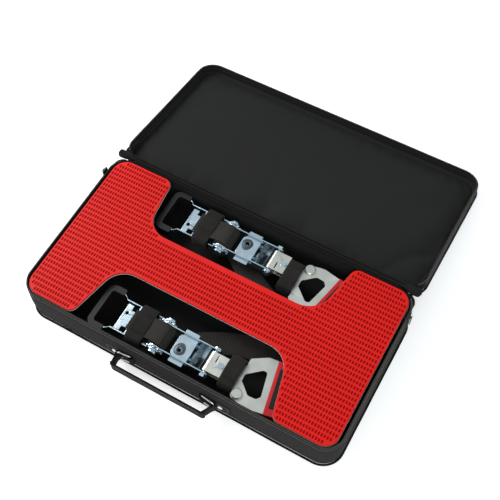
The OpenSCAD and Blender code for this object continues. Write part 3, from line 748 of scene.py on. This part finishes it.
def make_case():
    """Base, lid, and the fabric that joins them at the hinge."""
    lid = lid_matrix()
    lid_floor = HINGE[2] - LID_DEPTH
    case_skin("base_skin", 0.0, "case", None, ["base_shell"], 1)
    case_skin("lid_skin", lid_floor, "lid", lid, ["lid_shell"], 2)
    case_trim("base", "case", None, 0.0)
    case_trim("lid", "lid", lid, lid_floor)
    floor_pad("base_floor_pad", 3.4, "case", None, ["base_liner"], 3, 0.6, lambda x, y: 0.0)
    floor_pad("lid_floor_pad", lid_floor + 3.6, "lid", lid, ["lid_liner"], 4, 6.5, lid_folds)

    # spine fabric: one strip to each side of the welt on the hinge axis
    half = CASE_L / 2 - CASE_R + 2
    xs = np.linspace(-half, half, 60)
    profile = [(CASE_D / 2 - 1.0, WALL_TOP - 2), (CASE_D / 2 + 0.4, WALL_TOP + 2.5),
               (CASE_D / 2 + 1.8, WALL_TOP + 5.2), (CASE_D / 2 + 3.4, WALL_TOP + 6.4)]
    rows = [[(x, y + 0.3 * wobble((x, y, z), 30, 6), z + 0.35 * wobble((x, z, y), 26, 7))
             for x in xs] for y, z in profile]
    faces = grid_faces(len(profile), len(xs), closed=False)
    for name, body, matrix in (("base_spine", "case", None), ("lid_spine", "lid", lid)):
        strip = piece(name, np.vstack(rows), faces, "case_fabric", body, "case_fabric",
                      matrix=matrix)
        thicken(strip, SPINE_T, smooth=False)
    xs = np.linspace(-half, half, 110)
    line = [(x, HINGE[1] + 0.2 * wobble((x, 0, 0), 25, 8), HINGE[2]) for x in xs]
    fat = [WELT_R + 0.12 * wobble((x, 3, 0), 14, 9) for x in xs]
    piece("hinge_welt_cord", *tube(line, fat, 12), "case_fabric", "case", "case_fabric",
          ["hinge_welt"], crease=80)
    corner_fill("base_corner_folds", "case", None)
    corner_fill("lid_corner_folds", "lid", lid)
    make_end_tabs()


def corner_fill(name, body, matrix):
    """Rolled fabric that squares up the two rounded corners at the hinge."""
    edge, turn_r = 5.2, 13.0
    parts = []
    for sx in (-1, 1):
        cx, cy = CASE_L / 2 - edge - turn_r, CASE_D / 2 - edge - turn_r
        path = [(cx + turn_r - 0.6, cy - 26), (cx + turn_r, cy - 12)]
        path += [(cx + turn_r * math.cos(a), cy + turn_r * math.sin(a))
                 for a in np.linspace(0, math.pi / 2, 7)]
        path += [(cx - 12, cy + turn_r), (cx - 28, cy + turn_r - 0.6)]
        line = curve([(sx * x, y, WALL_TOP - 1.5) for x, y in path], 4)
        t = np.linspace(0, 1, len(line))
        fat = 2.0 + 3.6 * np.sin(math.pi * t) ** 0.6
        fat = fat + [0.35 * wobble(p, 9, 14) for p in line]
        parts.append(tube(line, fat, 14))
    piece(name, *joined(parts)[:2], "case_fabric", body, "case_fabric", matrix=matrix, crease=80)


def make_end_tabs():
    """Gathered tape ends at the hinge corners: the welt grows into a small stuffed lump."""
    parts = []
    steps = sides = 18
    start, end = CASE_L / 2 - CASE_R - 2, CASE_L / 2 + 2.0
    for sx in (-1, 1):
        rows = []
        for t in np.linspace(0, 1, steps):
            x = start + (end - start) * t
            swell = 1.6 + 5.4 * (0.5 - 0.5 * math.cos(math.pi * min(t / 0.7, 1))) ** 0.9
            swell *= math.sqrt(max(1 - max((t - 0.8) / 0.2, 0) ** 2.4, 0.02))
            for turn in full_turn(sides):
                radius = swell * (1 + 0.07 * math.sin(5 * turn + 3 * t) * t)
                rows.append((sx * x, HINGE[1] + radius * math.cos(turn),
                             HINGE[2] + radius * math.sin(turn)))
        faces = grid_faces(steps, sides) + cap_faces(steps, sides)
        parts.append((np.array(rows), faces if sx < 0 else [f[::-1] for f in faces]))
    piece("zip_end_folds", *joined(parts)[:2], "case_fabric", "case", "case_fabric",
          ["zip_end_tabs"], crease=80)


# ---------- carry handle ----------

HANDLE_TALL = 22.0
HANDLE_T = 1.5
SEAM_Z = HANDLE_TALL / 2 - 2
THREAD_R = 0.35
WIRE = 1.6
RING_W = 26.0
RING_TILT = 2.6
LEFT_LEAN = 1.5
RIGHT_LEAN = -8.0


def make_handle():
    """Two webbing legs that hang on rings, and a flat grip of the same webbing between them."""
    left = np.array(JOINTS["handle_fold"]["pos_m"]) / MM
    right = np.array(JOINTS["right_leg_fold"]["pos_m"]) / MM
    reach = JOINTS["grip_corner"]["pos_m"][1] / MM - left[1]
    for name, pivot, lean in (("left", left, LEFT_LEAN), ("right", right, RIGHT_LEAN)):
        loop = [(1.0, reach * 0.75), (1.1, -6), (2.4, -2.6), (2.7, 0.6), (1.4, 2.6)]
        away = [(-x, y) for x, y in loop]
        path = [(1.0, reach - 1.6), *loop, *away[::-1], (-1.0, reach - 1.6)]
        path = curve([(x + lean * max(0, y / reach) ** 1.2, y, 0) for x, y in path], 4) + pivot
        strip(name + "_leg_webbing", ribbon(path, (0, 0, 1), HANDLE_TALL, HANDLE_T),
              "handle_webbing", name + "_leg", ["handle_" + name + "_leg"])
    make_grip(left[0] + LEFT_LEAN, right[0] + RIGHT_LEAN)
    make_anchors(left)
    make_rings(left, right)


def make_grip(start, end):
    """Two layers of webbing sewn together, whose ends bend round into the legs."""
    low, high = node_box("handle_grip_bar")
    middle = (low + high) / 2
    layers, threads = [], []
    for y, bend in ((low[1] + HANDLE_T / 2, 3.4), (high[1] - HANDLE_T / 2, 0.6)):
        path = [(start - 1.9, y + bend + 1.2), (start - 1.5, y + bend * 0.5), (start + 1.0, y)]
        path += [(x, y + 0.25 * wobble((x, 0, 0), 45, 21))
                 for x in np.linspace(start + 6, end - 6, 26)]
        path += [(end - 1.0, y), (end + 1.5, y + bend * 0.5), (end + 1.9, y + bend + 1.2)]
        path = curve([(px, py, middle[2] + 0.5 * wobble((px, 9, 0), 60, 23)) for px, py in path], 3)
        layers.append(ribbon(path, (0, 0, 1), HANDLE_TALL, HANDLE_T))
    for dz in (-SEAM_Z, SEAM_Z):
        line = [(x, low[1] - 0.1 + 0.25 * wobble((x, 0, 0), 45, 21), middle[2] + dz)
                for x in np.linspace(start + 5, end - 5, 60)]
        threads.append(stitches(line, 3.4, [(0, -1, 0)] * len(line), THREAD_R))
    strip("grip_webbing", joined(layers), "handle_webbing", "grip_bar", ["handle_grip_bar"])
    piece("grip_thread", *joined(threads)[:2], "thread", "grip_bar", "handle_webbing")


def make_anchors(pivot):
    """Straps sewn to the front wall, each with a loop round its ring's inner bar."""
    low, high = node_box("handle_anchors")
    ring_low, ring_high = node_box("handle_rings")
    front = -CASE_D / 2
    straps, threads = [], []
    for sx, outer, ring_edge in ((-1, low[0], ring_low[0]), (1, high[0], ring_high[0])):
        inner = ring_edge - sx * (RING_W - WIRE)
        face = front - 1.3
        bar_y = pivot[1] + RING_TILT
        path = [(outer, face), (inner + sx * 16, face), (inner + sx * 9, face - 0.6),
                (inner + sx * 4.4, bar_y + 0.6), (inner + sx * 2.2, bar_y - 3.0),
                (inner - sx * 1.0, bar_y - 3.6), (inner - sx * 3.4, bar_y - 0.6),
                (inner - sx * 3.0, bar_y + 2.2), (inner - sx * 1.0, front - 1.4),
                (inner - sx * 6.0, front - 1.0)]
        spine = curve([(x, y, pivot[2]) for x, y in path], 4)
        straps.append(ribbon(spine, (0, 0, 1), HANDLE_TALL, HANDLE_T))
        seams = [[(t, z) for t in np.linspace(2, 30, 12)] for z in (-SEAM_Z, SEAM_Z)]
        seams += [[(t, z) for z in np.linspace(-9, 9, 8)] for t in (3, 22)]
        for seam in seams:
            line = [(outer - sx * t, face - 0.85, pivot[2] + z) for t, z in seam]
            threads.append(stitches(line, 3.2, [(0, -1, 0)] * len(line), THREAD_R))
    strip("anchor_webbing", joined(straps), "handle_webbing", "case", ["handle_anchors"])
    piece("anchor_thread", *joined(threads)[:2], "thread", "case", "handle_webbing")


def make_rings(left, right):
    """Rectangular wire rings with bent corners, whose inner bars lean to the wall."""
    low, high = node_box("handle_rings")
    half_x = RING_W / 2 - WIRE
    half_z = (high[2] - low[2]) / 2 - WIRE
    corner = 4.0
    parts = []
    for sx, pivot in ((-1, left), (1, right)):
        path = []
        for k in range(4):
            x0 = (half_x - corner) * (1 if k in (0, 3) else -1)
            z0 = (half_z - corner) * (1 if k in (0, 1) else -1)
            for t in np.linspace(math.pi / 2 * k, math.pi / 2 * (k + 1), 7):
                x, z = x0 + corner * math.cos(t), z0 + corner * math.sin(t)
                y = RING_TILT * (half_x - x) / (2 * half_x)
                path.append((pivot[0] + sx * (x - half_x), pivot[1] + y, pivot[2] + z))
        parts.append(tube(path, WIRE, 12, closed=True, up=(0, 1, 0)))
    piece("ring_wires", *joined(parts)[:2], "ring_steel", "case", "ring_steel", ["handle_rings"],
          crease=80)


# ---------- mat ----------

MAT_POINTS = [(-1, -1, 24), (-178, -1, 14), (-156, -39, 38), (146, -39, 40), (172, -1, 14),
              (1, -1, 24), (1, 1, 24), (170, 1, 14), (152, 42, 42), (-157, 42, 38),
              (-167, 1, 14), (-1, 1, 24)]
CELL_X = 4.83
CELL_Y = 8.57
CELL_DEPTH = 1.35
CELL_LIP = 0.8
MOUTH_GAP = (0.9, 1.7)
FLOOR_GAP = (2.0, 3.2)
MAT_RIM = 0.9
OUTLINE_STEP = 3.0


def mat_outline(steps=10):
    """The mat's H outline. A 1 in MAT_POINTS stands for the mat's own edge."""
    half = (node_box("mat_backing")[1] - node_box("mat_backing")[0]) / 2
    spots = [((x * half[0] if abs(x) == 1 else x), (y * half[1] if abs(y) == 1 else y), r)
             for x, y, r in MAT_POINTS]
    line = []
    for i, (x, y, r) in enumerate(spots):
        b = np.array([x, y], float)
        u = np.subtract(spots[i - 1][:2], b)
        w = np.subtract(spots[(i + 1) % len(spots)][:2], b)
        u, w = u / np.linalg.norm(u), w / np.linalg.norm(w)
        half_angle = math.acos(float(u @ w)) / 2
        centre = b + (u + w) / np.linalg.norm(u + w) * r / math.sin(half_angle)
        p = b + u * r / math.tan(half_angle) - centre
        q = b + w * r / math.tan(half_angle) - centre
        turn = math.atan2(p[0] * q[1] - p[1] * q[0], float(p @ q))
        start = math.atan2(p[1], p[0])
        for k in range(steps + 1):
            a = start + turn * k / steps
            line.append(centre + r * np.array([math.cos(a), math.sin(a)]))
    return resampled(np.array(line), OUTLINE_STEP)


def resampled(line, step):
    """A closed outline's points, spaced evenly."""
    closed = np.vstack([line, line[:1]])
    length = arc_length(closed)
    at = np.linspace(0, length[-1], round(length[-1] / step), endpoint=False)
    return points_at(at, length, closed)


def shrunk(line, inset):
    """The outline moved in by inset. It runs counter-clockwise."""
    step = np.roll(line, -1, 0) - np.roll(line, 1, 0)
    step /= np.linalg.norm(step, axis=1)[:, None]
    return line + inset * np.column_stack([-step[:, 1], step[:, 0]])


def inside(points, line):
    """Which points lie inside a closed outline."""
    x, y = points[:, 0], points[:, 1]
    found = np.zeros(len(points), bool)
    for (x0, y0), (x1, y1) in zip(line, np.roll(line, -1, 0)):
        if y0 == y1:
            continue
        crosses = (y0 > y) != (y1 > y)
        found ^= crosses & (x < (x1 - x0) * (y - y0) / (y1 - y0) + x0)
    return found


def cell_ring(width, length, sides=10):
    """A mesh cell's oval, pointed a little at its ends."""
    turn = full_turn(sides)
    return np.column_stack([width / 2 * np.cos(turn),
                            length / 2 * np.sign(np.sin(turn)) * abs(np.sin(turn)) ** 0.85])


def mat_height(points):
    """Gentle waves of the mat where it lies across the crampons."""
    return np.array([0.5 * wobble((x, y, 0), 110, 51) + 0.25 * wobble((x, y, 0), 38, 52)
                     - 1.2 * max(0.0, (-x - 225) / 45) ** 2 for x, y in points])


def make_mat():
    """Red net with small openings, whose mesh is cut round each opening, over a pale backing."""
    line = mat_outline()
    low, high = node_box("mat_grip_layer")
    top, base = high[2], low[2]
    body_box = node_box("mat_backing")
    xs = np.arange(-56, 57) * CELL_X
    ys = (np.arange(-17, 17) + 0.5) * CELL_Y
    centres = np.array([(x, y) for y in ys for x in xs])
    wide = cell_ring(CELL_X - MOUTH_GAP[0], CELL_Y - MOUTH_GAP[1])
    fits = inside(centres, line)
    room = shrunk(line, 1.6)
    for corner in wide:
        fits &= inside(centres + corner, room)
    centres = centres[fits]
    jitter = np.array([[0.16 * wobble((x, y, 0), 3, 61), 0.22 * wobble((x, y, 0), 3, 62)]
                       for x, y in centres])
    centres = centres + jitter

    sides = len(wide)
    edge = shrunk(line, MAT_RIM)
    flat = np.vstack([edge] + [c + wide for c in centres])
    count = len(edge)
    segments = [(i, (i + 1) % count) for i in range(count)]
    for k in range(len(centres)):
        start = count + k * sides
        segments += [(start + i, start + (i + 1) % sides) for i in range(sides)]
    _, _, triangles, _, _, _ = geometry.delaunay_2d_cdt(
        [Vector(p) for p in flat], segments, [], 0, 1e-5, False)
    owner = np.r_[np.full(count, -1), np.repeat(np.arange(len(centres)), sides)]
    net = [list(t) for t in triangles
           if not (owner[t[0]] == owner[t[1]] == owner[t[2]] and owner[t[0]] >= 0)]
    middles = np.array([flat[t].mean(0) for t in net])
    net = [t for t, ok in zip(net, inside(middles, edge)) if ok]

    def level(points, z):
        return np.column_stack([points, z + mat_height(points)])

    narrow = cell_ring(CELL_X - FLOOR_GAP[0], CELL_Y - FLOOR_GAP[1])
    mouths = np.vstack([c + narrow for c in centres])
    rows = [level(flat, top), level(mouths, top - CELL_LIP), level(mouths, top - CELL_DEPTH)]
    points = np.vstack(rows)
    faces = list(net)
    names = ["mat_red"] * len(net)
    # each opening's walls and floor take the darker red: painted shade in the holes
    for k in range(len(centres)):
        for i in range(sides):
            j = (i + 1) % sides
            a, b = count + k * sides + i, count + k * sides + j
            c, d = len(flat) + k * sides + i, len(flat) + k * sides + j
            e, f = c + len(mouths), d + len(mouths)
            faces += [[a, b, d, c][::-1], [c, d, f, e][::-1]]
            names += ["mat_red", "mat_deep_red"]
        start = len(flat) + len(mouths) + k * sides
        faces.append([start + i for i in range(sides)])
        names.append("mat_deep_red")
    rims = [shrunk(line, inset) for inset in (MAT_RIM, 0.6, 0.5, 0.5)]
    first = len(points)
    points = np.vstack([points] + [level(r, z) for r, z in
                                   zip(rims, (top, top - 0.5, top - 1.2, base))])
    side_faces = [f[::-1] for f in grid_faces(4, count, start=first)]
    faces += side_faces
    names += ["mat_red"] * len(side_faces)
    piece("mat_net", points, faces, names, "mat", "mat_red", ["mat_grip_layer"], crease=50)

    under = body_box[0][2]
    rims = [shrunk(line, 0.1), line, line, shrunk(line, 0.4)]
    levels = (base, base - 0.15, under + 0.2, under)
    points = np.vstack([level(r, z) for r, z in zip(rims, levels)])
    faces = [f[::-1] for f in grid_faces(4, count)]
    _, _, triangles, _, _, _ = geometry.delaunay_2d_cdt(
        [Vector(p) for p in line], [(i, (i + 1) % count) for i in range(count)], [], 1, 1e-5,
        False)
    kept = inside(np.array([line[list(t)].mean(0) for t in triangles]), line)
    faces += [[3 * count + v for v in t][::-1] for t, ok in zip(triangles, kept) if ok]
    piece("mat_back", points, faces, "mat_backing", "mat", "mat_backing", ["mat_backing"])


# ---------- crampons ----------

STRAP_ROUTE = [(4, 0, -17.6), (18, 1, -17.6), (36, 12, -17.6), (58, 28, -17.6),
               (84, 42, -17.6), (112, 53, -17.6), (142, 58, -16.6), (172, 53, -16.6),
               (200, 40, -16.6), (224, 26, -16), (244.2, 20.1, -14), (259.9, 23.4, -11.6),
               (275.5, 26.7, -11)]
WEB_W = 38.0
WEB_T = 1.5
ROLL_TURNS = 4.7
ROLL_START_R = 8.9
ROLL_R = 15.7
ROLL_POINTS = 150
DISH_HOLE = (36.6, -6.8)
DISH_TOP = 3.6
DISH_END_X = 26.4
DISH_SIDES = 40
DISH_PROFILE = ((3.35, 0.05), (3.6, 0.55), (4.4, 0.75), (6.0, 0.62), (7.8, 0.42), (8.8, 0.25),
                (9.6, 0.4), (10.1, 0.3), (10.4, 0.0))
SPRING_R = 3.4
SPRING_WIRE_R = 0.62
SPRING_TURNS = 5
SPRING_Y = 12


def side_matrix(side):
    """From a ratchet's own frame, about its spool axis, to the case. The far one is mirrored."""
    spot = Vector(JOINTS[side + "_spool_turn"]["pos_m"]) / MM
    mirror = 1 if side == "near" else -1
    return Matrix.Translation(spot) @ Matrix.Diagonal((1, mirror, 1, 1))


def claw_shift(side):
    """How far the side's claw lies nearer to the middle than the near one, in its own frame."""
    middle = (node_box(side + "_arm_pin")[0] + node_box(side + "_arm_pin")[1]) / 2
    local = side_matrix(side).inverted() @ Vector(middle)
    near = node_box("near_arm_pin")
    wanted = side_matrix("near").inverted() @ Vector((near[0] + near[1]) / 2)
    return local.y - wanted.y


def make_roll(side):
    """Webbing wound on the spool: a spiral whose turns differ a little in width."""
    path, width = [], []
    for k in range(ROLL_POINTS):
        t = k / (ROLL_POINTS - 1)
        angle = -math.pi / 2 + (1 - t) * ROLL_TURNS * 2 * math.pi
        radius = ROLL_START_R + (ROLL_R - ROLL_START_R) * t
        squash = 1 + 0.02 * wobble((radius * math.cos(angle), 0, radius * math.sin(angle)), 9, 71)
        path.append((radius * squash * math.cos(angle), 0, radius * squash * math.sin(angle)))
        width.append(WEB_W - 0.9 + 0.7 * wobble((t * ROLL_TURNS, 0, 0), 0.45, 72))
    strip(side + "_rolled_webbing", ribbon(path, (0, 1, 0), np.array(width), WEB_T), "webbing",
          side + "_spool_turns", [side + "_wound_webbing"], side_matrix(side))


def make_pawl_dish(side):
    """Pressed dish round the lock pawl's hole, with a raised lip, all in the darker shaded_zinc: a painted dark
    reflection in the dish.
    """
    points = []
    for radius, z in DISH_PROFILE:
        for turn in full_turn(DISH_SIDES):
            x = DISH_HOLE[0] + radius * math.cos(turn) * 0.92
            y = DISH_HOLE[1] + radius * math.sin(turn) * (1.25 if math.sin(turn) > 0 else 0.8)
            points.append((max(x, DISH_END_X), y, DISH_TOP + z))
    faces = [f[::-1] for f in grid_faces(len(DISH_PROFILE), DISH_SIDES)]
    piece(side + "_pawl_dish", points, faces, "shaded_zinc", side + "_lock", "zinc_steel",
          matrix=side_matrix(side), crease=60)


def make_tail(side):
    """Webbing that leaves the top of the roll and passes under the lever's band."""
    start = math.radians(62)
    points = [(17.2 * math.cos(start), 17.2 * math.sin(start)), (0, 17.6), (-12, 15.4),
              (-22, 12.6), (-32, 11.2), (-46, 10.6), (-54, 10.2)]
    path = curve([(x, 0, z) for x, z in points], 6)
    strip(side + "_webbing_tail", ribbon(path, (0, 1, 0), WEB_W - 2.2, WEB_T), "webbing",
          side + "_lever_swings", matrix=side_matrix(side))


def make_strap(side):
    """Webbing that runs from under the roll to the slot in the rear arm."""
    shift = claw_shift(side)
    end = STRAP_ROUTE[-3][0]
    route = [(x, y + shift * min(1, x / end), z) for x, y, z in STRAP_ROUTE]
    path = curve(route, 6)
    along = tangents(path)
    across = np.column_stack([-along[:, 1], along[:, 0], np.zeros(len(path))])
    strip(side + "_strap_webbing", ribbon(path, across, WEB_W - 0.4, WEB_T), "webbing", "case",
          [side + "_strap"], side_matrix(side))


def band_route(half_y, z0, z1, inset, start_y, lap):
    """Centre line of a band round a rounded box: once round, then on over its own start."""
    y, low, high, r = half_y - inset, z0 + inset, z1 - inset, 5.0
    loop = [(start_y, high)]
    for cy, cz, a0 in ((-y + r, high - r, 90), (-y + r, low + r, 180), (y - r, low + r, 270),
                       (y - r, high - r, 0)):
        loop += [(cy + r * math.cos(math.radians(a)), cz + r * math.sin(math.radians(a)))
                 for a in range(a0, a0 + 91, 18)]
    loop += [(start_y + 3.0, high + 0.4), (start_y - 1.5, high + 1.7),
             (start_y - lap * 0.5, high + 1.9), (start_y - lap, high + 1.8)]
    return loop


def make_band(side, node, body, x0, x1, half_y, z0, z1, shift, start_y, lap, seed):
    """Hook-and-loop band with a lapped end, pulled slightly out of shape."""
    loop = band_route(half_y, z0, z1, 1.1, start_y, lap)
    spine = np.array([((x0 + x1) / 2, y + shift, z) for y, z in loop])
    fine = curve(spine, 2)
    length = arc_length(fine)
    at = np.linspace(0, length[-1], 110)
    path = points_at(at, length, fine)
    path[:, 0] += [0.5 * wobble(p, 20, seed) for p in path]
    path[:, 2] += [0.35 * wobble(p, 13, seed + 1) for p in path]
    points, faces, uvs = ribbon(path, (1, 0, 0), x1 - x0 - 0.6, 1.9)
    points += [[0, 0.0, 0.25 * wobble(p, 6, seed + 2)] for p in points]
    strip(node + "_wrap", (points, faces, uvs), "hook_band", body, [node], side_matrix(side), 60)


def make_springs(side):
    """The two coil springs behind the lock pawl."""
    low, high = node_box(side + "_lock_springs")
    matrix = side_matrix(side)
    x_offset = matrix.translation.x
    x0, x1 = low[0] - x_offset, high[0] - x_offset
    z = (low[2] + high[2]) / 2 - matrix.translation.z
    parts = []
    angle = np.linspace(0, SPRING_TURNS * 2 * math.pi, 90)
    pitch = np.clip((np.linspace(0, 1, 90) - 0.1) / 0.8, 0, 1)
    along = x0 + 0.6 + (x1 - x0 - 1.2) * pitch
    for y in (-SPRING_Y, SPRING_Y):
        path = np.column_stack([along, y + SPRING_R * np.cos(angle),
                                z + SPRING_R * np.sin(angle)])
        parts.append(tube(path, SPRING_WIRE_R, 7, up=(1, 0, 0)))
    obj = piece(side + "_coil_springs", *joined(parts)[:2], "spring_steel", "case", "zinc_steel",
                [side + "_lock_springs"], matrix, crease=80)
    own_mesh(obj)


def make_crampons():
    """The webbing, bands, springs and pressed dishes of both ratchets."""
    for side in SIDES:
        shift = claw_shift(side)
        make_roll(side)
        make_pawl_dish(side)
        make_tail(side)
        make_strap(side)
        make_springs(side)
        make_band(side, side + "_lever_band", side + "_lever_swings", -48, -20, 31.5, -13.5, 14,
                  0, 9, 24, 81)
        make_band(side, side + "_end_band", "case", 114, 138.8, 27, -12, 14, shift, 14, 26, 91)


# ---------- CAD nodes that stay ----------

SOFT_EDGES = {"zinc_steel": 0.35, "nickel_steel": 0.4, "claw_red": 0.6, "claw_rubber": 0.6,
              "grip_plastic": 1.6, "slider_metal": 0.3}
DARKER_NODES = {side + "_spring_retainer": "shaded_zinc" for side in SIDES}


def finish_cad_nodes():
    """Gives each shown CAD node its procedural material and slightly broken edges."""
    slots = {part["node"]: part["material_slot"] for part in frame["record"]["subparts"]}
    for name, node in frame["nodes"].items():
        if node.hide_render:
            continue
        slot = slots[name]
        node.data.materials.clear()
        node.data.materials.append(SURFACES[DARKER_NODES.get(name, slot)])
        node.data.polygons.foreach_set("material_index", [0] * len(node.data.polygons))
        weld = node.modifiers.new("weld", "WELD")
        weld.merge_threshold = 0.00001
        bevel = node.modifiers.new("edges", "BEVEL")
        bevel.width = SOFT_EDGES.get(slot, 0.3) * MM
        bevel.segments = 2
        bevel.limit_method = "ANGLE"
        bevel.angle_limit = math.radians(35)
        bevel.harden_normals = False
        normals = node.modifiers.new("normals", "WEIGHTED_NORMAL")
        normals.keep_sharp = False


SURFACES = {}
make_camera()
make_studio()
SURFACES.update(make_surfaces())
make_case()
make_handle()
make_mat()
make_crampons()
finish_cad_nodes()
